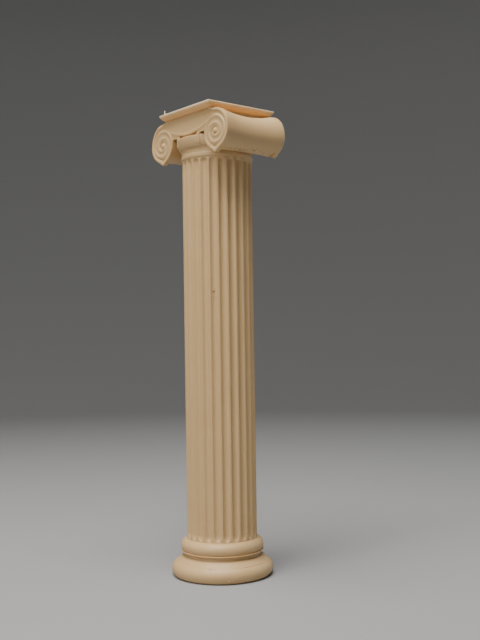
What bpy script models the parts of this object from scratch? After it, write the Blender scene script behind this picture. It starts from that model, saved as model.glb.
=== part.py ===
# An ionic column: a small plastic model printed in one piece, standing on its own round base.
# Metres, +Z up. The origin is the centre of the underside. The carved volute faces look along
# -Y and +Y and the bolsters lie along Y, so the column is widest along X.
import math

import bmesh
import bpy
from mathutils import Matrix

# Whole column, from the floor to the abacus's upper face
COLUMN_HEIGHT = 0.200

# Base: lower torus and its slope, scotia, ring and upper torus
LOWER_TORUS_RADIUS = 0.0219
LOWER_TORUS_CURVE = 0.0035
LOWER_TORUS_BELLY = 0.0030
FOOT_BEVEL = 0.0008
SLOPE_HEIGHT = 0.0083
SCOTIA_RADIUS = 0.0165
SCOTIA_HEIGHT = 0.0016
RING_RADIUS = 0.01795
RING_HEIGHT = 0.0009
UPPER_TORUS_RADIUS = 0.0179
UPPER_TORUS_CURVE = 0.0030
UPPER_TORUS_SPRING = 40

# Shaft and flutes
SHAFT_RADIUS = 0.0151
FLUTE_COUNT = 24
FLUTE_DEPTH = 0.0010
FLUTE_FILLET = 0.0010
FLUTE_FOOT_GAP = 0.0005
FLUTE_HEAD_GAP = 0.0004

# Neck, its heights measured down from the capital's underside
ECHINUS_RADIUS = 0.01735
ECHINUS_NECK_RADIUS = 0.0154
ECHINUS_DROP = 0.0012
ECHINUS_UNDER = 0.0045
ECHINUS_EDGE = 0.0003
BEAD_RADIUS = 0.0158
BEAD_DROP = 0.0059
BEAD_HEIGHT = 0.0007
THROAT_RADIUS = 0.0153
ASTRAGAL_RADIUS = 0.0160
ASTRAGAL_DROP = 0.0089
ASTRAGAL_HEIGHT = 0.0021

# Capital: the block behind the canalis, the volutes and the bolsters between them
CAPITAL_DEPTH = 0.0316
BLOCK_WIDTH = 0.0318
CANALIS_HEIGHT = 0.0088
VOLUTE_SPACING = 0.0376
VOLUTE_EYE_DROP = 0.0128
VOLUTE_RADIUS = 0.0094
VOLUTE_GAP = 0.0220
BOLSTER_WAIST = 0.87
WAIST_DROP = 0.0041

# Relief on the volute faces, and the raised band at each end of a bolster
RELIEF = 0.0005
SPIRAL_FILLET = 0.0010
BAND_LENGTH = 0.0020
BAND_PROUD = 0.00015
EYE_RADIUS = 0.0013
EYE_RELIEF = 0.0008
FESTOON_SAG = 0.0037
FESTOON_FILLET = 0.0009
FESTOON_RELIEF = 0.0004
RECESS_DEPTH = 0.0012
RECESS_WIDTH = 0.0128

# Leaves at the ends of the echinus, each a hair's breadth clear of the neck's core behind it
LEAF_SPACING = 0.0142
LEAF_WIDTH = 0.0018
LEAF_CLEARANCE = 0.0000376
LEAF_TOE = 0.0022
LEAF_HEIGHT = 0.0058
LEAF_RISE = 0.0003
LEAF_SLOPE = 0.0015
LEAF_INSET = 0.00005

# Abacus: a square slab, its edge a thin upright lip over a shallow ovolo
ABACUS_WIDTH = 0.0360
ABACUS_HEIGHT = 0.0025
ABACUS_LIP = 0.0004
ABACUS_OVERHANG = 0.0018
OVOLO_BULGE = 0.0002

# The spiral's outer edge at each quarter turn from its top, as shares of VOLUTE_RADIUS. It runs
# down the outer side first and winds in to the eye.
SPIRAL_SHARES = (
    1.0, 0.888, 0.782, 0.755, 0.702, 0.712, 0.552, 0.511, 0.397, 0.423, 0.273, 0.206,
)
SPIRAL_LEAD_IN = 1.32
LEAD_IN_ANGLE = math.radians(25)
VOLUTE_POINT_ANGLE = math.radians(33.4)
BOLSTER_POINT_ANGLE = math.radians(15)
INNER_ANGLE = math.radians(282)
FESTOON_ANGLE = math.radians(337)
FESTOON_SOFTNESS = 0.6

# Facets
TURNED_SIDES = 48
FLUTE_SIDES = 14
SPIRAL_STEP = math.radians(15)
WAIST_STEPS = 8
FESTOON_STEPS = 12

HALF_SIDE = math.pi / TURNED_SIDES

# How far one shape reaches into the next before they are joined
OVERLAP = 0.0012

# Heights and planes that follow from the sizes above
SCOTIA_TOP = SLOPE_HEIGHT + SCOTIA_HEIGHT
RING_TOP = SCOTIA_TOP + RING_HEIGHT
UPPER_TORUS_HEIGHT = RING_TOP + UPPER_TORUS_CURVE * math.sin(math.radians(UPPER_TORUS_SPRING))
BASE_TOP = UPPER_TORUS_HEIGHT + UPPER_TORUS_CURVE
ABACUS_FOOT = COLUMN_HEIGHT - ABACUS_HEIGHT
CAPITAL_FOOT = ABACUS_FOOT - CANALIS_HEIGHT
NECK_CORE = SHAFT_RADIUS - FLUTE_DEPTH - OVERLAP
ASTRAGAL_MIDDLE = CAPITAL_FOOT - ASTRAGAL_DROP
EYE_HEIGHT = COLUMN_HEIGHT - VOLUTE_EYE_DROP
FACE = CAPITAL_DEPTH / 2
CHANNEL_FLOOR = FACE - RELIEF


def clear_scene():
    for existing in list(bpy.data.objects):
        bpy.data.objects.remove(existing, do_unlink=True)


def add_piece(name, body):
    bmesh.ops.recalc_face_normals(body, faces=body.faces[:])
    mesh = bpy.data.meshes.new(name)
    body.to_mesh(mesh)
    body.free()
    piece = bpy.data.objects.new(name, mesh)
    bpy.context.scene.collection.objects.link(piece)
    return piece


# Shared ways of making a solid

def arc(centre, radii, start, end, steps):
    """Points (r, z) along an elliptical arc. Angles are in degrees, 0 pointing straight out."""
    angles = [math.radians(start + (end - start) * step / steps) for step in range(steps + 1)]
    return [
        (centre[0] + radii[0] * math.cos(a), centre[1] + radii[1] * math.sin(a)) for a in angles
    ]


def turn(profile, sides, first_corner=0.0):
    """Spin a profile of (r, z) points, from axis to axis, into one closed body."""
    body = bmesh.new()
    across, along = math.cos(first_corner), math.sin(first_corner)
    corners = [body.verts.new((r * across, r * along, z)) for r, z in profile]
    edges = [body.edges.new(pair) for pair in zip(corners, corners[1:])]
    bmesh.ops.spin(
        body, geom=corners + edges, cent=(0, 0, 0), axis=(0, 0, 1), angle=math.tau, steps=sides,
        use_merge=True,
    )
    bmesh.ops.remove_doubles(body, verts=body.verts[:], dist=1e-6)
    return body


def loft(rings):
    """Join rings of equal length in order, and cap both ends."""
    body = bmesh.new()
    loops = [[body.verts.new(point) for point in ring] for ring in rings]
    for near, far in zip(loops, loops[1:]):
        for index, corner in enumerate(near):
            after = (index + 1) % len(near)
            body.faces.new((corner, near[after], far[after], far[index]))
    body.faces.new(loops[0])
    body.faces.new(loops[-1])
    return body


def bar(outer, inner, front, back):
    """A bar between two lines of (x, z) points, from one y to another."""
    return loft([
        [(ox, front, oz), (ix, front, iz), (ix, back, iz), (ox, back, oz)]
        for (ox, oz), (ix, iz) in zip(outer, inner)
    ])


# Base and shaft

def make_base():
    curve = LOWER_TORUS_CURVE
    foot = -math.degrees(math.asin((LOWER_TORUS_BELLY - FOOT_BEVEL / 2) / curve))
    lower = arc((LOWER_TORUS_RADIUS - curve, LOWER_TORUS_BELLY), (curve, curve), foot, 54, 5)
    hollow = SCOTIA_HEIGHT / 2
    scotia = arc((SCOTIA_RADIUS + hollow, SLOPE_HEIGHT + hollow), (hollow, hollow), 240, 115, 4)
    ring = [(RING_RADIUS, SCOTIA_TOP), (RING_RADIUS, RING_TOP)]
    curve = UPPER_TORUS_CURVE
    centre = (UPPER_TORUS_RADIUS - curve, UPPER_TORUS_HEIGHT)
    upper = arc(centre, (curve, curve), -UPPER_TORUS_SPRING, 90, 5)
    profile = [(0.0, 0.0), (lower[0][0] - FOOT_BEVEL, 0.0)] + lower + scotia + ring + upper
    return add_piece("base", turn(profile + [(0.0, BASE_TOP)], TURNED_SIDES, HALF_SIDE))


def make_shaft():
    foot = RING_TOP + OVERLAP
    head = ASTRAGAL_MIDDLE
    profile = [(0.0, foot), (SHAFT_RADIUS, foot), (SHAFT_RADIUS, head), (0.0, head)]
    return add_piece("shaft", turn(profile, FLUTE_COUNT * 2))


def make_flute_cutters():
    """A round-ended bar for each flute, its side sunk into the shaft by the flute's depth."""
    width = math.tau * SHAFT_RADIUS / FLUTE_COUNT - FLUTE_FILLET
    rise = FLUTE_DEPTH - (SHAFT_RADIUS - math.sqrt(SHAFT_RADIUS**2 - width**2 / 4))
    radius = (width**2 / 4 + rise**2) / (2 * rise)
    foot = BASE_TOP + FLUTE_FOOT_GAP + width / 2
    head = ASTRAGAL_MIDDLE - ASTRAGAL_HEIGHT / 2 - FLUTE_HEAD_GAP - width / 2
    ends = arc((0.0, foot), (radius, radius), -90, 0, 4)
    ends += arc((0.0, head), (radius, radius), 0, 90, 4)
    one = turn(ends, FLUTE_SIDES)
    flute = bpy.data.meshes.new("flute")
    one.to_mesh(flute)
    one.free()
    outwards = Matrix.Translation((0.0, -(SHAFT_RADIUS - FLUTE_DEPTH + radius), 0.0))
    cutters = bmesh.new()
    for index in range(FLUTE_COUNT):
        place = Matrix.Rotation(math.tau * index / FLUTE_COUNT, 4, "Z") @ outwards
        earlier = len(cutters.verts)
        cutters.from_mesh(flute)
        cutters.verts.ensure_lookup_table()
        bmesh.ops.transform(cutters, matrix=place, verts=cutters.verts[earlier:])
    bpy.data.meshes.remove(flute)
    return add_piece("flute_cutters", cutters)


# Neck

def make_neck():
    """Astragal, throat, bead and echinus, rising from inside the shaft into the capital."""
    middle = ASTRAGAL_MIDDLE
    out = ASTRAGAL_RADIUS - THROAT_RADIUS
    astragal = arc((THROAT_RADIUS, middle), (out, ASTRAGAL_HEIGHT / 2), -90, 80, 6)
    out = BEAD_RADIUS - THROAT_RADIUS
    bead = arc((THROAT_RADIUS, CAPITAL_FOOT - BEAD_DROP), (out, BEAD_HEIGHT / 2), -80, 50, 2)
    belly = CAPITAL_FOOT - ECHINUS_DROP
    out = ECHINUS_RADIUS - ECHINUS_NECK_RADIUS
    under = arc((ECHINUS_NECK_RADIUS, belly), (out, ECHINUS_UNDER), -75, 0, 4)
    inner = ECHINUS_RADIUS - ECHINUS_EDGE
    edge = arc((inner, belly), (ECHINUS_EDGE, ECHINUS_EDGE), 0, 90, 2)
    foot = astragal[0][1] - OVERLAP
    head = CAPITAL_FOOT + OVERLAP
    profile = [(0.0, foot), (NECK_CORE, foot)] + astragal + bead + under + edge[1:]
    profile += [(NECK_CORE, edge[-1][1]), (NECK_CORE, head), (0.0, head)]
    return add_piece("neck", turn(profile, TURNED_SIDES, HALF_SIDE))


def make_leaf(side, face):
    """A plain upright leaf that closes one end of the echinus, sloping back at its foot."""
    inmost = (LEAF_SPACING - LEAF_WIDTH) / 2
    left = side * LEAF_SPACING / 2 - LEAF_WIDTH / 2
    right = left + LEAF_WIDTH
    front = FACE - LEAF_INSET
    back = math.sqrt(NECK_CORE**2 - inmost**2) + LEAF_CLEARANCE
    top = CAPITAL_FOOT + LEAF_RISE
    foot = top - LEAF_HEIGHT
    rings = []
    for z, out in ((foot, back + LEAF_TOE), (foot + LEAF_SLOPE, front), (top, front)):
        corners = ((left, back), (right, back), (right, out), (left, out))
        rings.append([(x, face * y, z) for x, y in corners])
    return add_piece("leaf", loft(rings))


# Volutes and bolsters

def spiral_radius(angle):
    """Outer edge of the spiral at an angle from its top, counted down the outer side."""
    quarters = angle / (math.pi / 2)
    if quarters <= 0:
        lead = min(1.0, -angle / LEAD_IN_ANGLE)
        return VOLUTE_RADIUS * (1 + (SPIRAL_LEAD_IN - 1) * lead**2)
    index = min(int(quarters), len(SPIRAL_SHARES) - 2)
    part = min(quarters - index, 1.0)
    eased = part * part * (3 - 2 * part)
    near, far = SPIRAL_SHARES[index:index + 2]
    return VOLUTE_RADIUS * (near + (far - near) * eased)


def point_stretch(angle, point):
    """The outer whorl is drawn down to a point, its flanks straight over an angle to each side."""
    from_bottom = abs(angle - math.pi)
    return 1 / math.cos(max(0.0, point - from_bottom))


def volute_place(side, angle, radius):
    x = side * (VOLUTE_SPACING / 2 + radius * math.sin(angle))
    return x, EYE_HEIGHT + radius * math.cos(angle)


def steps_between(start, end):
    count = round((end - start) / SPIRAL_STEP)
    return [start + (end - start) * step / count for step in range(count + 1)]


def capital_half(size):
    """The capital's outline on its +X side as (x, z) points, from the abacus round to the echinus.

    The volute part is drawn in to size about a point below its eye.
    """
    block = BLOCK_WIDTH / 2
    volute = VOLUTE_SPACING / 2
    centre = EYE_HEIGHT - WAIST_DROP

    def drawn_in(x, z):
        return volute + (x - volute) * size, centre + (z - centre) * size

    reach = spiral_radius(-LEAD_IN_ANGLE / 2)
    aside = (block - volute) / size
    join = EYE_HEIGHT + math.sqrt(reach**2 - aside**2)
    outline = [(block, ABACUS_FOOT + OVERLAP), drawn_in(volute + aside, join)]
    for angle in steps_between(-LEAD_IN_ANGLE / 3, INNER_ANGLE):
        radius = spiral_radius(angle) * point_stretch(angle, BOLSTER_POINT_ANGLE)
        outline.append(drawn_in(*volute_place(1, angle, radius)))
    return outline + [(VOLUTE_GAP / 2, CAPITAL_FOOT)]


def make_capital():
    """Block and bolsters in one: the volutes' outline runs from face to face over a waist."""
    straight = FACE - BAND_LENGTH
    stations = [straight * (2 * step / WAIST_STEPS - 1) for step in range(WAIST_STEPS + 1)]
    rings = []
    for y in [-CHANNEL_FLOOR] + stations + [CHANNEL_FLOOR]:
        waist = max(0.0, 1 - (y / straight) ** 2)
        half = capital_half(1 - (1 - BOLSTER_WAIST) * waist)
        rings.append([(x, y, z) for x, z in half] + [(-x, y, z) for x, z in reversed(half)])
    return add_piece("capital", loft(rings))


def make_spiral(side, face):
    """The raised fillet, from under the abacus to the eye. Its first turn bands the bolster."""
    outer = []
    inner = []
    end = (len(SPIRAL_SHARES) - 1) * math.pi / 2
    for angle in steps_between(-LEAD_IN_ANGLE, end):
        radius = spiral_radius(angle)
        stretch = point_stretch(angle, VOLUTE_POINT_ANGLE)
        outer.append(volute_place(side, angle, (radius + BAND_PROUD) * stretch))
        inner.append(volute_place(side, angle, (radius - SPIRAL_FILLET) * stretch))
    return add_piece("spiral", bar(outer, inner, face * FACE, face * (FACE - BAND_LENGTH)))


def make_eye(side, face):
    """A low domed button at the centre of the spiral."""
    profile = [(0.0, -OVERLAP), (EYE_RADIUS, -OVERLAP)]
    profile += arc((0.0, 0.0), (EYE_RADIUS, EYE_RELIEF), 0, 90, 3)
    button = turn(profile, 12)
    place = Matrix.Translation((side * VOLUTE_SPACING / 2, face * CHANNEL_FLOOR, EYE_HEIGHT))
    turned = Matrix.Rotation(-face * math.pi / 2, 4, "X")
    bmesh.ops.transform(button, matrix=place @ turned, verts=button.verts[:])
    return add_piece("eye", button)


# Festoon and abacus

def festoon_end():
    return volute_place(1, FESTOON_ANGLE, spiral_radius(FESTOON_ANGLE) - SPIRAL_FILLET / 2)


def festoon_line(reach):
    """The festoon's middle as (x, z) points. It sags between the spirals' second turns."""
    end_x, end_z = festoon_end()
    highest = math.hypot(1, FESTOON_SOFTNESS)
    line = []
    for step in range(FESTOON_STEPS + 1):
        x = reach * (2 * step / FESTOON_STEPS - 1)
        drop = (highest - math.hypot(x / end_x, FESTOON_SOFTNESS)) / (highest - FESTOON_SOFTNESS)
        line.append((x, end_z - FESTOON_SAG * drop))
    return line


def make_festoon(face):
    """The fillet along the lower edge of the canalis."""
    line = festoon_line(festoon_end()[0])
    upper = [(x, z + FESTOON_FILLET / 2) for x, z in line]
    lower = [(x, z - FESTOON_FILLET / 2) for x, z in line]
    front = CHANNEL_FLOOR + FESTOON_RELIEF
    back = CHANNEL_FLOOR - RECESS_DEPTH - OVERLAP
    return add_piece("festoon", bar(upper, lower, face * front, face * back))


def make_recess(face):
    """Cuts back the face below the festoon, between the leaves, down to the echinus."""
    half = RECESS_WIDTH / 2
    foot = CAPITAL_FOOT - OVERLAP
    outline = festoon_line(half) + [(half, foot), (-half, foot)]
    planes = (face * (FACE + OVERLAP), face * (CHANNEL_FLOOR - RECESS_DEPTH))
    return add_piece("recess", loft([[(x, y, z) for x, z in outline] for y in planes]))


def make_abacus():
    half = ABACUS_WIDTH / 2
    foot = half - ABACUS_OVERHANG
    rise = ABACUS_HEIGHT - ABACUS_LIP
    edge = []
    for share in (0.0, 0.25, 0.5, 0.75, 1.0):
        bulge = OVOLO_BULGE * 4 * share * (1 - share)
        edge.append((foot + ABACUS_OVERHANG * share + bulge, ABACUS_FOOT + rise * share - bulge))
    edge.append((half, COLUMN_HEIGHT))
    return add_piece("abacus", loft([[(-x, -x, z), (x, -x, z), (x, x, z), (-x, x, z)] for x, z in edge]))


# Joining everything into one printed piece

def join_solids(column, others, operation):
    for other in others:
        other.hide_render = True
        other.display_type = "WIRE"
        modifier = column.modifiers.new(other.name, "BOOLEAN")
        modifier.operation = operation
        modifier.solver = "EXACT"
        modifier.object = other


def settle(column, others):
    """Keep the joined mesh as the column's own and remove the solids that made it."""
    depsgraph = bpy.context.evaluated_depsgraph_get()
    joined = bpy.data.meshes.new_from_object(column.evaluated_get(depsgraph))
    column.modifiers.clear()
    column.data = joined
    for other in others:
        bpy.data.objects.remove(other, do_unlink=True)
    tidy = bmesh.new()
    tidy.from_mesh(joined)
    bmesh.ops.remove_doubles(tidy, verts=tidy.verts[:], dist=5e-6)
    bmesh.ops.dissolve_degenerate(tidy, edges=tidy.edges[:], dist=5e-6)
    bmesh.ops.triangulate(tidy, faces=tidy.faces[:])
    tidy.to_mesh(joined)
    tidy.free()
    joined.shade_smooth()
    joined.set_sharp_from_angle(angle=math.radians(30))


def cream_plastic():
    plastic = bpy.data.materials.new("cream_plastic")
    plastic.use_nodes = True
    surface = plastic.node_tree.nodes["Principled BSDF"]
    surface.inputs["Base Color"].default_value = (0.60, 0.47, 0.32, 1.0)
    surface.inputs["Roughness"].default_value = 0.5
    surface.inputs["Metallic"].default_value = 0.0
    return plastic


def main():
    clear_scene()
    column = make_shaft()
    flutes = make_flute_cutters()
    capital = make_capital()
    recesses = [make_recess(face) for face in (-1, 1)]
    join_solids(capital, recesses, "DIFFERENCE")
    added = [make_base(), make_neck(), capital]
    for face in (-1, 1):
        for side in (-1, 1):
            added += [make_spiral(side, face), make_eye(side, face), make_leaf(side, face)]
        added.append(make_festoon(face))
    added.append(make_abacus())
    join_solids(column, [flutes], "DIFFERENCE")
    join_solids(column, added, "UNION")
    settle(column, [flutes] + recesses + added)
    column.name = "ionic_column"
    column.data.materials.clear()
    column.data.materials.append(cream_plastic())


main()
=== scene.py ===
import math

import bmesh
import bpy
from mathutils import Matrix, Vector


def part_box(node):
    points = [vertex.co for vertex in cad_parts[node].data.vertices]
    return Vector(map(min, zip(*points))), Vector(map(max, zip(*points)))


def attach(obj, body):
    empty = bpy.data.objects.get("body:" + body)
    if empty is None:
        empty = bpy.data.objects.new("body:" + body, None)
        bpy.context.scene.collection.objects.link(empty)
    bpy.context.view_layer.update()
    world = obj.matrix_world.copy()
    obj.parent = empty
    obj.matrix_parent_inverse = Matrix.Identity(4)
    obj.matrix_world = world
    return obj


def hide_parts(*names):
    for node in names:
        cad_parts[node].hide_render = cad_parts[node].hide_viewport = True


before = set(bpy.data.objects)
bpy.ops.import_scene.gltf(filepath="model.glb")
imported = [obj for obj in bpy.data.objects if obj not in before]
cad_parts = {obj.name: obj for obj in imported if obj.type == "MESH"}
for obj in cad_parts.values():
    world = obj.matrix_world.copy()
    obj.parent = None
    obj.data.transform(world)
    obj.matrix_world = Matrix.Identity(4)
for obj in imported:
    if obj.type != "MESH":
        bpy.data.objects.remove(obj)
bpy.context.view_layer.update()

mm = 0.001
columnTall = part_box("ionic_column")[1][2] / mm
print("frame loaded, column is", round(columnTall, 1), "mm tall")


# small tools for outlines and solids

def bend(centre, reach, start, end, steps):
    # points on an elliptical arc, degrees from straight out
    turns = [math.radians(start + (end - start) * k / steps) for k in range(steps + 1)]
    return [(centre[0] + reach[0] * math.cos(t), centre[1] + reach[1] * math.sin(t)) for t in turns]


def spread(start, end, steps):
    return [start + (end - start) * k / steps for k in range(steps + 1)]


def ease(t):
    t = min(1.0, max(0.0, t))
    return t * t * (3 - 2 * t)


def skin(rings, closed=True, caps=True):
    # quads between rings of equal length
    body = bmesh.new()
    loops = [[body.verts.new(Vector(point) * mm) for point in ring] for ring in rings]
    for near, far in zip(loops, loops[1:]):
        count = len(near)
        for k in range(count if closed else count - 1):
            after = (k + 1) % count
            body.faces.new((near[k], near[after], far[after], far[k]))
    if caps:
        body.faces.new(loops[0])
        body.faces.new(loops[-1])
    return body


def keep(name, body):
    bmesh.ops.recalc_face_normals(body, faces=body.faces[:])
    mesh = bpy.data.meshes.new(name)
    body.to_mesh(mesh)
    body.free()
    thing = bpy.data.objects.new(name, mesh)
    bpy.context.scene.collection.objects.link(thing)
    return thing


# base, shaft and neck, turned about one axis

turned = {
    "columns": 13,                # points across one flute and one fillet
    "footBevel": 0.8,
    "lowerWide": 21.9, "lowerCurve": 3.5, "lowerBelly": 3.0, "slopeTurn": 54, "slopeTop": 8.3,
    "scotiaWide": 16.5, "scotiaTall": 1.6, "scotiaFoot": (2.0, 1.3), "scotiaThroat": 1.1,
    "ringWide": 17.85, "ringTall": 0.9, "ringSoft": 0.12, "ringLip": 0.4, "ringTuck": 0.15,
    "upperWide": 17.9, "upperCurve": 3.0, "upperSpring": 40,
    "shaftWide": 15.1, "flutes": 24, "fluteDeep": 1.0, "fluteFillet": 1.0,
    "fluteFootGap": 0.5, "fluteHeadGap": 0.4, "fluteRun": 1.7, "arrisSoft": 0.07,
    "echinusWide": 17.35, "echinusNeck": 15.4, "echinusDrop": 1.2, "echinusUnder": 4.5,
    "echinusEdge": 0.3,
    "beadWide": 15.8, "beadDrop": 5.9, "beadTall": 0.7,
    "throatWide": 15.3,
    "astragalWide": 15.6, "astragalDrop": 8.9, "astragalTall": 2.1,
    "coreInset": 2.2, "coreLap": 1.2,     # the core that runs up into the capital
    # the edge of one printed layer that shows on the base's slope, between pairs of bearings
    "layerEdge": 6.15, "layerEdgeWide": 0.18, "layerEdgeDeep": 0.3,
    "layerEdgeSpans": ((-59, -47), (-16, 24)), "layerEdgeFade": 6,
}

capital = {
    "deep": 31.6, "blockWide": 31.8, "canalisTall": 8.8, "abacusTall": 2.5,
    "eyesApart": 37.6, "eyeDrop": 12.8, "volute": 9.4, "gap": 22.0, "waist": 0.87, "waistDrop": 4.1,
    "leadIn": 1.32, "leadTurn": 25, "pointTurn": 33.4, "bodyPoint": 15, "outerTurn": -8,
    "innerTurn": 282, "lap": 1.2,         # how far it runs into what it meets
    "bentPoint": (30.0, 164),     # the rear right-hand point came out blunt and turned outwards
    # the spiral's outer edge at each quarter turn, as shares of the volute
    "shares": (1.0, 0.888, 0.782, 0.755, 0.702, 0.712, 0.552, 0.511, 0.397, 0.423, 0.273, 0.206),
    "relief": 0.5, "filled": 0.27, "fillFrom": 30, "fillOver": 90, "fillet": 1.0,
    "leastCove": 0.25, "outerCove": 0.5, "endFrom": 4, "endOver": 20,
    "bandLong": 2.0, "bandProud": 0.12, "bandSoft": 0.25, "bandFrom": 284, "bandOver": 40,
    "eye": 1.3, "eyeProud": 0.8, "eyeFoot": 1.25, "eyeCove": 0.8,
    "festoonTurn": 337, "festoonSag": 3.7, "festoonFillet": 0.9, "festoonProud": 0.4,
    "festoonSoft": 0.6, "festoonCove": 0.9, "festoonLow": 0.45, "festoonFade": 2.5, "festoonLead": 0.6,
    "recess": 1.2, "recessWide": 12.8,
}

abacusFoot = columnTall - capital["abacusTall"]
capitalFoot = abacusFoot - capital["canalisTall"]
astragalMiddle = capitalFoot - turned["astragalDrop"]
ringFoot = turned["slopeTop"] + turned["scotiaTall"]
ringTop = ringFoot + turned["ringTall"]
upperMiddle = ringTop + turned["upperCurve"] * math.sin(math.radians(turned["upperSpring"]))
baseTop = upperMiddle + turned["upperCurve"]
fluteWide = math.tau * turned["shaftWide"] / turned["flutes"] - turned["fluteFillet"]
fluteFoot = baseTop + turned["fluteFootGap"]
fluteHead = astragalMiddle - turned["astragalTall"] / 2 - turned["fluteHeadGap"]


def fluteDepth(aside, height):
    # a round-ended groove of circular section, its arrises slightly softened, its foot drawn out
    half = fluteWide / 2
    shaft = turned["shaftWide"]
    rise = turned["fluteDeep"] - (shaft - math.sqrt(shaft**2 - half**2))
    radius = (half**2 + rise**2) / (2 * rise)
    run = turned["fluteRun"]
    past = max(0.0, (fluteFoot - height) / run + half, height - (fluteHead - half))
    away = min(math.hypot(aside, past), radius)
    raw = math.sqrt(radius**2 - away**2) - (radius - turned["fluteDeep"])
    soft = turned["arrisSoft"]
    return 0.5 * (raw + math.sqrt(raw**2 + soft**2)) - 0.25 * soft


def layerEdge(bearing, height):
    t = turned
    across = 1 - abs(height - t["layerEdge"]) / t["layerEdgeWide"]
    fade = t["layerEdgeFade"]
    along = max(
        ease((bearing - start) / fade) * ease((end - bearing) / fade) for start, end in t["layerEdgeSpans"]
    )
    return t["layerEdgeDeep"] * max(0.0, across) * along


def shaftHeights():
    # rows of points up the shaft, close together at both ends of the flutes
    half = fluteWide / 2
    run = half * turned["fluteRun"]
    footRows = spread(baseTop - 0.3, fluteFoot - 0.1, 3) + spread(fluteFoot, fluteFoot + run, 14)
    headRows = spread(fluteHead - half, fluteHead, 12) + spread(fluteHead + 0.1, fluteHead + 0.35, 2)
    return footRows + spread(fluteFoot + run + 2, fluteHead - half - 2, 14) + headRows


def turnedProfile():
    # (radius, height, fluted) from the underside's rim to inside the capital
    t = turned
    curve = t["lowerCurve"]
    foot = -math.degrees(math.asin((t["lowerBelly"] - t["footBevel"] / 2) / curve))
    lower = bend((t["lowerWide"] - curve, t["lowerBelly"]), (curve, curve), foot, t["slopeTurn"], 14)
    rimFoot = (lower[0][0] - t["footBevel"], 0.0)
    # the scotia sweeps up into the underside of the ring's thin lip
    lipFoot = ringTop - t["ringLip"]
    throat = t["slopeTop"] + t["scotiaThroat"]
    reach = t["ringWide"] - t["ringTuck"] - t["scotiaWide"]
    scotia = bend((t["scotiaWide"] + t["scotiaFoot"][0], throat), t["scotiaFoot"], 232, 185, 8)
    scotia += bend((t["scotiaWide"] + reach, throat), (reach, lipFoot - throat), 180, 100, 9)
    start, end = lower[-1], scotia[0]
    slope = [
        (start[0] + (end[0] - start[0]) * s, start[1] + (end[1] - start[1]) * s)
        for s in spread(0.03, 0.24, 7) + [0.5, 0.75, 0.93]
    ]
    soft = t["ringSoft"]
    inset = t["ringWide"] - soft
    ring = bend((inset, lipFoot + soft), (soft, soft), -80, 0, 3)
    ring += bend((inset, ringTop - soft), (soft, soft), 0, 90, 3)
    curve = t["upperCurve"]
    upper = bend((t["upperWide"] - curve, upperMiddle), (curve, curve), -t["upperSpring"], 84, 16)
    outline = [rimFoot] + lower + slope + scotia + ring + upper
    outline = [(r, z, False) for r, z in outline]
    outline += [(t["shaftWide"], z, True) for z in shaftHeights() if z > upper[-1][1]]
    out = t["astragalWide"] - t["throatWide"]
    neck = bend((t["throatWide"], astragalMiddle), (out, t["astragalTall"] / 2), -86, 86, 14)
    out = t["beadWide"] - t["throatWide"]
    neck += bend((t["throatWide"], capitalFoot - t["beadDrop"]), (out, t["beadTall"] / 2), -80, 55, 7)
    belly = capitalFoot - t["echinusDrop"]
    out = t["echinusWide"] - t["echinusNeck"]
    neck += bend((t["echinusNeck"], belly), (out, t["echinusUnder"]), -75, 0, 14)
    soft = t["echinusEdge"]
    neck += bend((t["echinusWide"] - soft, belly), (soft, soft), 0, 90, 5)[1:]
    core = t["shaftWide"] - t["coreInset"]
    neck += [(core, neck[-1][1]), (core, capitalFoot + t["coreLap"])]
    return outline + [(r, z, False) for r, z in neck]


def makeTurned():
    t = turned
    pitch = math.tau * t["shaftWide"] / t["flutes"]
    aside = [pitch * (k / t["columns"] - 0.5) for k in range(t["columns"])]
    rings = []
    for radius, height, fluted in turnedProfile():
        ring = []
        for flute in range(t["flutes"]):
            for u in aside:
                turn = math.tau * flute / t["flutes"] + u / t["shaftWide"] - math.pi / 2
                bearing = (math.degrees(turn) + 180) % 360 - 180
                r = radius - (fluteDepth(u, height) if fluted else layerEdge(bearing, height))
                ring.append((r * math.cos(turn), r * math.sin(turn), height))
        rings.append(ring)
    return keep("turned", skin(rings))


# capital: one outline carried from face to face, and the raised fillets on both faces

eyeX = capital["eyesApart"] / 2
eyeZ = columnTall - capital["eyeDrop"]
face = capital["deep"] / 2
channelFloor = face - capital["relief"]


def spiral(angle):
    # outer edge of the volute's fillet, angle counted from the top down the outer side
    shares = capital["shares"]
    quarters = angle / (math.pi / 2)
    if quarters <= 0:
        lead = min(1.0, -angle / math.radians(capital["leadTurn"]))
        return capital["volute"] * (1 + (capital["leadIn"] - 1) * lead**2)
    k = min(int(quarters), len(shares) - 2)
    return capital["volute"] * (shares[k] + (shares[k + 1] - shares[k]) * ease(quarters - k))


def pointed(angle, flank, peak=180):
    # the outer whorl is drawn down to a point, its flanks straight over an angle to each side
    off = math.radians(flank) - abs(angle - math.radians(peak))
    return 1 / math.cos(max(0.0, off))


def onVolute(side, angle, radius):
    return side * (eyeX + radius * math.sin(angle)), eyeZ + radius * math.cos(angle)


def halfOutline(size):
    # the volute part is drawn in to size about a point below its eye
    c = capital
    middle = eyeZ - c["waistDrop"]

    def drawnIn(x, z):
        return eyeX + (x - eyeX) * size, middle + (z - middle) * size

    block = c["blockWide"] / 2
    aside = (block - eyeX) / size
    reach = spiral(-math.radians(c["leadTurn"]) / 2)
    join = eyeZ + math.sqrt(reach**2 - aside**2)
    outline = [(block, abacusFoot + c["lap"]), drawnIn(eyeX + aside, join)]
    for degrees in spread(c["outerTurn"], c["innerTurn"], 96):
        angle = math.radians(degrees)
        outline.append(drawnIn(*onVolute(1, angle, spiral(angle) * pointed(angle, c["bodyPoint"]))))
    return outline + [(c["gap"] / 2, capitalFoot)]


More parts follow.
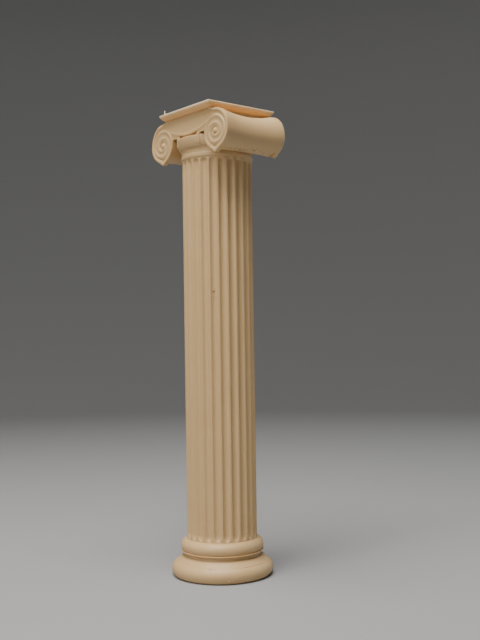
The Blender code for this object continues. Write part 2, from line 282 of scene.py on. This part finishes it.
def makeBody():
    c = capital
    straight = face - c["bandLong"]
    stations = [-channelFloor] + spread(-straight, straight, 28) + [channelFloor]
    rings = []
    for y in stations:
        waist = max(0.0, 1 - (y / straight) ** 2)
        half = halfOutline(1 - (1 - c["waist"]) * waist)
        rings.append([(x, y, z) for x, z in half] + [(-x, y, z) for x, z in reversed(half)])
    return keep("body", skin(rings))


def channelFill(angle):
    # the channel winds in shallower than the canalis
    c = capital
    return c["filled"] * ease((math.degrees(angle) - c["fillFrom"]) / c["fillOver"])


def nextTurn(angle):
    # outer edge of the next turn in, or of the eye once the spiral has ended
    c = capital
    last = (len(c["shares"]) - 1) * math.pi / 2
    past = math.degrees(angle + math.tau - last)
    if past < 0:
        return spiral(angle + math.tau)
    end = spiral(last)
    return end + (c["eye"] * c["eyeCove"] - end) * ease((past - c["endFrom"]) / c["endOver"])


def filletSection(angle):
    # (radius, height above the channel's floor) round one raised fillet, with coved flanks
    c = capital
    radius = spiral(angle)
    innerCove = max(c["leastCove"], (radius - c["fillet"] - nextTurn(angle)) / 2)
    if angle > math.tau:
        outerCove = max(c["leastCove"], (spiral(angle - math.tau) - c["fillet"] - radius) / 2)
    else:
        outerCove = c["outerCove"]
    top = c["relief"]
    soft = c["bandSoft"]
    proud = radius + c["bandProud"]
    inside = radius - c["fillet"]
    # share of the way across the channel, height above its floor
    coves = ((0.985, -0.03), (0.6, 0.05), (0.25, 0.15), (0.0, 0.32))
    fill = channelFill(angle)
    inner = [(inside - innerCove * far, up + fill * (1 - up / top)) for far, up in coves]
    inner.append((inside + 0.2, top))
    band = [
        (proud - soft, top), (proud - soft * 0.3, top - soft * 0.3), (proud, top - soft),
        (proud, top - c["bandLong"] * 0.4), (radius - 0.05, top - c["bandLong"] - 0.2),
    ]
    fill = channelFill(angle - math.tau)
    coved = [(radius - 0.2, top)]
    coved += [(radius + outerCove * far, up + fill * (1 - up / top)) for far, up in reversed(coves)]
    blend = ease((math.degrees(angle) - c["bandFrom"]) / c["bandOver"])
    outer = [
        (b[0] + (v[0] - b[0]) * blend, b[1] + (v[1] - b[1]) * blend) for b, v in zip(band, coved)
    ]
    deep = top - c["bandLong"] - 0.3
    return inner + outer + [(radius - 0.3, deep), (inside - innerCove * coves[0][0], deep)]


def makeSpiral(side, front):
    c = capital
    last = (len(c["shares"]) - 1) * 90
    point = c["bentPoint"] if side == front == 1 else (c["pointTurn"], 180)
    rings = []
    for degrees in spread(-c["leadTurn"], last, 260):
        angle = math.radians(degrees)
        stretch = pointed(angle, *point)
        ring = []
        for radius, height in filletSection(angle):
            x, z = onVolute(side, angle, radius * stretch)
            ring.append((x, front * (channelFloor + height), z))
        rings.append(ring)
    return keep("spiral", skin(rings))


def makeEye(side, front):
    c = capital
    foot = c["eye"] * c["eyeFoot"]
    profile = [(foot, -0.5), (foot, 0.02)]
    profile += bend((0.0, 0.05), (c["eye"], c["eyeProud"] - 0.05), 8, 80, 8)
    rings = []
    for radius, height in profile:
        around = [math.tau * k / 32 for k in range(32)]
        y = front * (channelFloor + height)
        rings.append([
            (side * eyeX + radius * math.cos(a), y, eyeZ + radius * math.sin(a)) for a in around
        ])
    return keep("eye", skin(rings))


def festoonEnd():
    c = capital
    angle = math.radians(c["festoonTurn"])
    return onVolute(1, angle, spiral(angle) - c["fillet"] / 2)


def festoonLine(reach, steps):
    # middle of the festoon's fillet, sagging between the spirals' second turns
    c = capital
    endX, endZ = festoonEnd()
    highest = math.hypot(1, c["festoonSoft"])
    line = []
    for x in spread(-reach, reach, steps):
        drop = (highest - math.hypot(x / endX, c["festoonSoft"])) / (highest - c["festoonSoft"])
        line.append((x, endZ - c["festoonSag"] * drop))
    return line


def makeFestoon(front):
    # sharp below where the face is cut back, coved and fading towards the spirals
    c = capital
    half = c["festoonFillet"] / 2
    deep = -c["recess"] - 0.8
    rings = []
    for x, z in festoonLine(festoonEnd()[0], 60):
        fade = ease((abs(x) - c["recessWide"] / 2 + c["festoonLead"]) / c["festoonFade"])
        top = c["festoonProud"] * (1 - c["festoonLow"] * fade)
        cove = c["festoonCove"] * fade
        section = [
            (-half - cove, deep), (-half - cove, top - 0.12 + (0.09 - top) * fade),
            (-half - cove * 0.4, top - 0.06 - 0.12 * fade), (-half + 0.12, top), (half - 0.15, top),
            (half, top * 0.7), (half + 0.25, top * 0.3), (half + 0.7, 0.03), (half + 1.1, -0.03),
            (half + 1.1, deep),
        ]
        rings.append([(x, front * (channelFloor + height), z + up) for up, height in section])
    return keep("festoon", skin(rings))


def makeRecess(front):
    # what is cut back below the festoon, between the leaves, down to the echinus
    c = capital
    half = c["recessWide"] / 2
    foot = capitalFoot - c["lap"]
    outline = festoonLine(half, 40) + [(half, foot), (-half, foot)]
    planes = (front * (face + c["lap"]), front * (channelFloor - c["recess"]))
    return keep("recess", skin([[(x, y, z) for x, z in outline] for y in planes]))


leaf = {
    "apart": 14.2, "wide": 1.8, "thick": 4.4, "toe": 2.2, "tall": 5.8, "rise": 0.3, "slope": 1.5,
    "inset": 0.05, "soft": 0.2,
}


def makeLeaf(side, front):
    f = leaf
    middle = side * f["apart"] / 2
    out = face - f["inset"]
    back = out - f["thick"]
    top = capitalFoot + f["rise"]
    foot = top - f["tall"]
    rows = []
    for s in spread(0, 1, 5):
        reach = f["toe"] + (f["thick"] - f["toe"]) * math.sin(s * math.pi / 2)
        rows.append((foot + f["slope"] * s, back + reach))
    rows += [(top - f["soft"], out), (top, out - f["soft"])]
    rings = []
    for z, reach in rows:
        corners = bend((f["wide"] / 2 - f["soft"], reach - f["soft"]), (f["soft"], f["soft"]), 0, 90, 3)
        half = [(f["wide"] / 2, back)] + corners
        ring = half + [(-x, y) for x, y in reversed(half)]
        rings.append([(middle + x, front * y, z) for x, y in ring])
    return keep("leaf", skin(rings))


abacus = {"wide": 36.0, "lip": 0.4, "overhang": 1.8, "bulge": 0.2, "corner": 0.35, "edge": 0.1}


def makeAbacus():
    a = abacus
    half = a["wide"] / 2
    rise = capital["abacusTall"] - a["lip"]
    profile = []
    for share in spread(0, 1, 10):
        bulge = a["bulge"] * 4 * share * (1 - share)
        profile.append((half - a["overhang"] * (1 - share) + bulge, abacusFoot + rise * share - bulge))
    profile += [(half, columnTall - a["edge"]), (half - a["edge"], columnTall)]
    rings = []
    for reach, z in profile:
        corner = bend((reach - a["corner"], reach - a["corner"]), (a["corner"], a["corner"]), 0, 90, 4)
        ring = []
        for quarter in range(4):
            turn = Matrix.Rotation(quarter * math.pi / 2, 2)
            ring += [(*(turn @ Vector(point)), z) for point in corner]
        rings.append(ring)
    return keep("abacus", skin(rings))


# small marks that the print carries: stubs of its supports, a drip, a strand and a few nicks

marks = {
    # place, then half its size along x, y and z
    "stubs": (
        ((19.4, -7.6, 180.1), (0.35, 0.55, 0.3)), ((19.3, -5.2, 180.1), (0.3, 0.4, 0.35)),
        ((19.8, -3.0, 180.2), (0.35, 0.45, 0.3)), ((20.2, -1.4, 180.35), (0.3, 0.35, 0.3)),
        ((22.5, 1.2, 181.1), (0.3, 0.35, 0.3)), ((21.7, 3.4, 180.7), (0.35, 0.4, 0.35)),
        ((22.4, 5.9, 181.0), (0.3, 0.35, 0.3)), ((20.9, 9.3, 180.3), (0.35, 0.4, 0.3)),
        ((20.3, 12.1, 180.1), (0.3, 0.35, 0.3)), ((20.9, 15.0, 179.1), (0.5, 0.5, 0.45)),
    ),
    "drip": (((9.75, -10.4, 121.8), (0.4, 0.4, 0.45)), ((9.6, -10.55, 119.0), (0.22, 0.22, 2.8))),
    "nib": (((18.55, -11.1, 1.7), (0.4, 0.45, 0.35)),),
    "nicks": (((15.66, -15.8, 181.6), (0.6, 0.3, 0.2)), ((18.3, -15.7, 180.6), (0.7, 0.3, 0.2))),
    "strand": {"place": (-13.75, -17.85), "foot": 199.6, "top": 201.6, "wide": 0.45, "tip": 0.2},
}


def makeBlob(name, place, reach):
    body = bmesh.new()
    bmesh.ops.create_icosphere(body, subdivisions=2, radius=mm)
    shape = Matrix.Translation(Vector(place) * mm) @ Matrix.Diagonal((*reach, 1.0))
    bmesh.ops.transform(body, matrix=shape, verts=body.verts[:])
    return keep(name, body)


def makeStrand():
    m = marks["strand"]
    x, y = m["place"]
    rings = []
    for z, wide in ((m["foot"], m["wide"]), (m["top"] - 0.5, m["wide"] * 0.8), (m["top"], m["tip"])):
        rings.append([(x + a, y + b, z) for a, b in bend((0, 0), (wide / 2, wide / 2), 0, 315, 7)])
    return keep("strand", skin(rings))


# joining

weld = 2e-6         # metres
sharpFrom = 32      # degrees


def combine(thing, others, operation):
    for other in others:
        change = thing.modifiers.new(other.name, "BOOLEAN")
        change.operation = operation
        change.solver = "EXACT"
        change.object = other


def settle(column, others):
    depsgraph = bpy.context.evaluated_depsgraph_get()
    joined = bpy.data.meshes.new_from_object(column.evaluated_get(depsgraph))
    column.modifiers.clear()
    column.data = joined
    for other in others:
        bpy.data.objects.remove(other, do_unlink=True)
    clean = bmesh.new()
    clean.from_mesh(joined)
    bmesh.ops.remove_doubles(clean, verts=clean.verts[:], dist=weld)
    bmesh.ops.dissolve_degenerate(clean, edges=clean.edges[:], dist=weld)
    clean.to_mesh(joined)
    openEdges = sum(1 for edge in clean.edges if len(edge.link_faces) != 2)
    print("joined column:", len(clean.verts), "points,", openEdges, "open edges")
    clean.free()
    joined.shade_smooth()
    joined.set_sharp_from_angle(angle=math.radians(sharpFrom))


column = makeTurned()
print("turned body done")
body = makeBody()
recesses = [makeRecess(front) for front in (-1, 1)]
combine(body, recesses, "DIFFERENCE")
added = [body]
for front in (-1, 1):
    added.append(makeFestoon(front))
    for side in (-1, 1):
        added += [makeSpiral(side, front), makeEye(side, front), makeLeaf(side, front)]
added.append(makeAbacus())
print("capital done")
for name in ("stubs", "drip", "nib"):
    added += [makeBlob(name, place, reach) for place, reach in marks[name]]
added.append(makeStrand())
nicks = [makeBlob("nick", place, reach) for place, reach in marks["nicks"]]
combine(column, added, "UNION")
combine(column, nicks, "DIFFERENCE")
settle(column, recesses + nicks + added)
column.name = "printedColumn"
column.data.name = "printedColumn"
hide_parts("ionic_column")
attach(column, "root")


# material

class Wire:
    tree = None

    def __init__(self, out):
        self.out = out

    @classmethod
    def node(cls, kind, settings=None, inputs=None, take=0):
        made = cls.tree.nodes.new(kind)
        for key, value in (settings or {}).items():
            setattr(made, key, value)
        for key, value in (inputs or {}).items():
            if isinstance(value, Wire):
                cls.tree.links.new(value.out, made.inputs[key])
            else:
                made.inputs[key].default_value = value
        return cls(made.outputs[take])

    @classmethod
    def maths(cls, operation, *values):
        return cls.node("ShaderNodeMath", {"operation": operation}, dict(enumerate(values)))

    def __add__(self, other):
        return self.maths("ADD", self, other)

    __radd__ = __add__

    def __mul__(self, other):
        return self.maths("MULTIPLY", self, other)

    __rmul__ = __mul__


def blendColour(amount, first, second):
    return Wire.node("ShaderNodeMix", {"data_type": "RGBA"}, {0: amount, 6: first, 7: second}, take=2)


plastic = {
    "cream": (0.59, 0.395, 0.19, 1.0),
    "pale": (0.64, 0.445, 0.225, 1.0),
    "paintedGlow": (0.82, 0.49, 0.20, 1.0),      # painted glow: stands in for light that comes through the abacus's thin edge
    # painted highlight: the pale colour of the abacus's thin top edge stands in for light catching it and
    # coming through it
    "lip": (0.92, 0.76, 0.50, 1.0),
    # dark spots: marks round the support stubs, and painted shadow at the drip
    "darkSpot": (0.20, 0.085, 0.035, 1.0),
    "roughness": 0.46, "roughVary": 0.12, "ior": 1.46,
    "glow": 0.25, "glowReach": 1.0,        # how far light travels inside, millimetres
    "glowColour": (1.0, 0.62, 0.36),
    "mottle": 90.0, "grain": 900.0, "ragged": 1300.0,      # noise scales
    "layer": 0.2, "layerDeep": 0.010, "layerPart": 0.5, "grainPart": 0.6, "bump": 0.35,
    # heights of the painted glow and the painted pale edge on the abacus
    "paintedGlowFrom": 197.4, "paintedGlowSoft": 0.3, "paintedLipFrom": 198.7, "paintedLipTo": 199.75,
    # place and how far each dark spot reaches: marks round the support stubs under the right bolster, then
    # painted shadow at the drip, standing in for the shadow its blob casts
    "darkSpots": (
        ((20.6, -8.7, 180.3), 0.8), ((21.5, -6.8, 180.6), 0.5), ((20.9, -4.0, 180.5), 0.9),
        ((20.5, -1.2, 180.4), 0.6), ((21.4, 3.0, 180.7), 0.7), ((22.7, 3.9, 181.2), 0.5),
        ((21.7, 6.7, 180.7), 1.0), ((20.5, 9.0, 180.2), 0.7), ((20.9, 14.6, 179.4), 1.0),
        ((10.0, -10.6, 121.8), 1.4), ((9.8, -10.5, 119.3), 0.5),
    ),
    "darkSpotDepth": 0.9,
}


def noise(place, scale, detail):
    return Wire.node("ShaderNodeTexNoise", {}, {"Vector": place, "Scale": scale, "Detail": detail})


def darkSpotMask(place):
    # strongest at the heart of each dark spot, fading out round it, with ragged gaps
    marked = None
    for spot, reach in plastic["darkSpots"]:
        spot = Vector(spot) * mm
        away = Wire.node("ShaderNodeVectorMath", {"operation": "DISTANCE"}, {0: place, 1: spot}, take=1)
        near = Wire.node("ShaderNodeMapRange", {"interpolation_type": "SMOOTHSTEP"}, {
            "Value": away, "From Min": reach * mm, "From Max": reach * 0.2 * mm,
            "To Max": plastic["darkSpotDepth"],
        })
        marked = near if marked is None else Wire.maths("MAXIMUM", marked, near)
    ragged = noise(place, plastic["ragged"], 2.0)
    return marked * Wire.node("ShaderNodeMapRange", {}, {"Value": ragged, "From Min": 0.38, "From Max": 0.62})


def makePlastic():
    p = plastic
    material = bpy.data.materials.new("creamPlastic")
    material.use_nodes = True
    tree = material.node_tree
    Wire.tree = tree
    surface = tree.nodes["Principled BSDF"]
    place = Wire.node("ShaderNodeTexCoord", take=3)
    height = Wire.node("ShaderNodeSeparateXYZ", inputs={0: place}, take=2)
    colour = blendColour(noise(place, p["mottle"], 4.0), p["cream"], p["pale"])
    # painted glow and painted highlight on the abacus: amber on the underside for light coming through the
    # thin edge, pale on the top edge for light catching it
    above = Wire.node("ShaderNodeMapRange", {"interpolation_type": "SMOOTHSTEP"}, {
        "Value": height, "From Min": (p["paintedGlowFrom"] - p["paintedGlowSoft"]) * mm,
        "From Max": (p["paintedGlowFrom"] + p["paintedGlowSoft"]) * mm,
    })
    upper = Wire.node("ShaderNodeMapRange", {"interpolation_type": "SMOOTHSTEP"}, {
        "Value": height, "From Min": p["paintedLipFrom"] * mm, "From Max": p["paintedLipTo"] * mm,
    })
    colour = blendColour(above, colour, blendColour(upper, p["paintedGlow"], p["lip"]))
    # dark marks round the support stubs, and painted shadow at the drip
    colour = blendColour(darkSpotMask(place), colour, p["darkSpot"])
    tree.links.new(colour.out, surface.inputs["Base Color"])
    layers = Wire.maths("SINE", height * (math.tau / (p["layer"] * mm)))
    grain = noise(place, p["grain"], 3.0)
    bump = Wire.node("ShaderNodeBump", {}, {
        "Height": layers * p["layerPart"] + grain * p["grainPart"], "Strength": p["bump"],
        "Distance": p["layerDeep"] * mm,
    })
    tree.links.new(bump.out, surface.inputs["Normal"])
    rough = grain * p["roughVary"] + (p["roughness"] - p["roughVary"] / 2)
    tree.links.new(rough.out, surface.inputs["Roughness"])
    surface.inputs["Metallic"].default_value = 0.0
    surface.inputs["IOR"].default_value = p["ior"]
    surface.inputs["Subsurface Weight"].default_value = p["glow"]
    surface.inputs["Subsurface Radius"].default_value = p["glowColour"]
    surface.inputs["Subsurface Scale"].default_value = p["glowReach"] * mm
    return material


column.data.materials.clear()
column.data.materials.append(makePlastic())
print("plastic done")


# camera, floor and light

view = {
    "place": (317.08, -246.91, 100.59), "azimuth": 52.092, "yaw": 1.294, "pitch": 1.272, "roll": 0.842,
    "lens": 51.8, "sensor": 36, "nearest": 10,
}


def makeCamera():
    v = view
    yaw, pitch, roll = (math.radians(v[key]) for key in ("yaw", "pitch", "roll"))
    ahead = Vector((math.cos(pitch) * math.sin(yaw), math.cos(pitch) * math.cos(yaw), math.sin(pitch)))
    right = Vector((math.cos(yaw), -math.sin(yaw), 0))
    up = right.cross(ahead)
    leaned = Matrix.Rotation(roll, 3, ahead)
    right, up = leaned @ right, leaned @ up
    axes = Matrix((right, up, -ahead)).transposed().to_4x4()
    lens = bpy.data.cameras.new("camera")
    lens.sensor_width = v["sensor"]
    lens.lens = v["lens"]
    lens.clip_start = v["nearest"] * mm
    camera = bpy.data.objects.new("camera", lens)
    bpy.context.scene.collection.objects.link(camera)
    turn = Matrix.Rotation(math.radians(v["azimuth"]), 4, "Z")
    camera.matrix_world = Matrix.Translation(Vector(v["place"]) * mm) @ turn @ axes
    bpy.context.scene.camera = camera


studio = {
    "paperColour": (0.335, 0.34, 0.345, 1.0), "paperFlat": 900, "paperCurve": 700, "paperTall": 2200,
    "paperDrop": 0.05, "paperRough": 0.75,
    "sky": (0.50, 0.57, 0.68), "skyPower": 0.03,
    # name, bearing, elevation, distance, size, watts, colour
    "lamps": (
        ("side", -76, 28, 800, 420, 2.1, (1.0, 0.96, 0.91)),
        ("top", -64, 72, 800, 560, 12.8, (1.0, 0.965, 0.925)),
        ("fill", 76, 10, 800, 420, 0.55, (0.66, 0.82, 1.0)),
    ),
}


def makePaper():
    # plain paper, flat round the column and curving up on all sides
    s = studio
    curve = s["paperCurve"]
    drop = s["paperDrop"]
    profile = [(1.0, -drop)] + bend((s["paperFlat"], curve - drop), (curve, curve), -90, 0, 24)
    profile.append((s["paperFlat"] + curve, s["paperTall"]))
    rings = [[(x, y, z) for x, y in bend((0, 0), (reach, reach), 0, 357, 119)] for reach, z in profile]
    floor = keep("floor", skin(rings, caps=False))
    floor.data.shade_smooth()
    paper = bpy.data.materials.new("paper")
    paper.use_nodes = True
    paper.node_tree.nodes["Principled BSDF"].inputs["Base Color"].default_value = s["paperColour"]
    paper.node_tree.nodes["Principled BSDF"].inputs["Roughness"].default_value = s["paperRough"]
    floor.data.materials.append(paper)


def makeStudio():
    s = studio
    for name, bearing, elevation, away, size, power, colour in s["lamps"]:
        lamp = bpy.data.lights.new(name, "AREA")
        lamp.size = size * mm
        lamp.energy = power
        lamp.color = colour
        holder = bpy.data.objects.new(name, lamp)
        bpy.context.scene.collection.objects.link(holder)
        turn, lift = math.radians(bearing), math.radians(elevation)
        way = Vector((math.cos(turn) * math.cos(lift), math.sin(turn) * math.cos(lift), math.sin(lift)))
        middle = Vector((0, 0, columnTall * 0.5))
        holder.location = (middle + way * away) * mm
        holder.rotation_euler = (-way).to_track_quat("-Z", "Y").to_euler()
    world = bpy.data.worlds.new("room")
    bpy.context.scene.world = world
    world.use_nodes = True
    sky = world.node_tree.nodes["Background"]
    sky.inputs["Color"].default_value = (*s["sky"], 1.0)
    sky.inputs["Strength"].default_value = s["skyPower"]


makeCamera()
makePaper()
makeStudio()
print("camera and studio done")
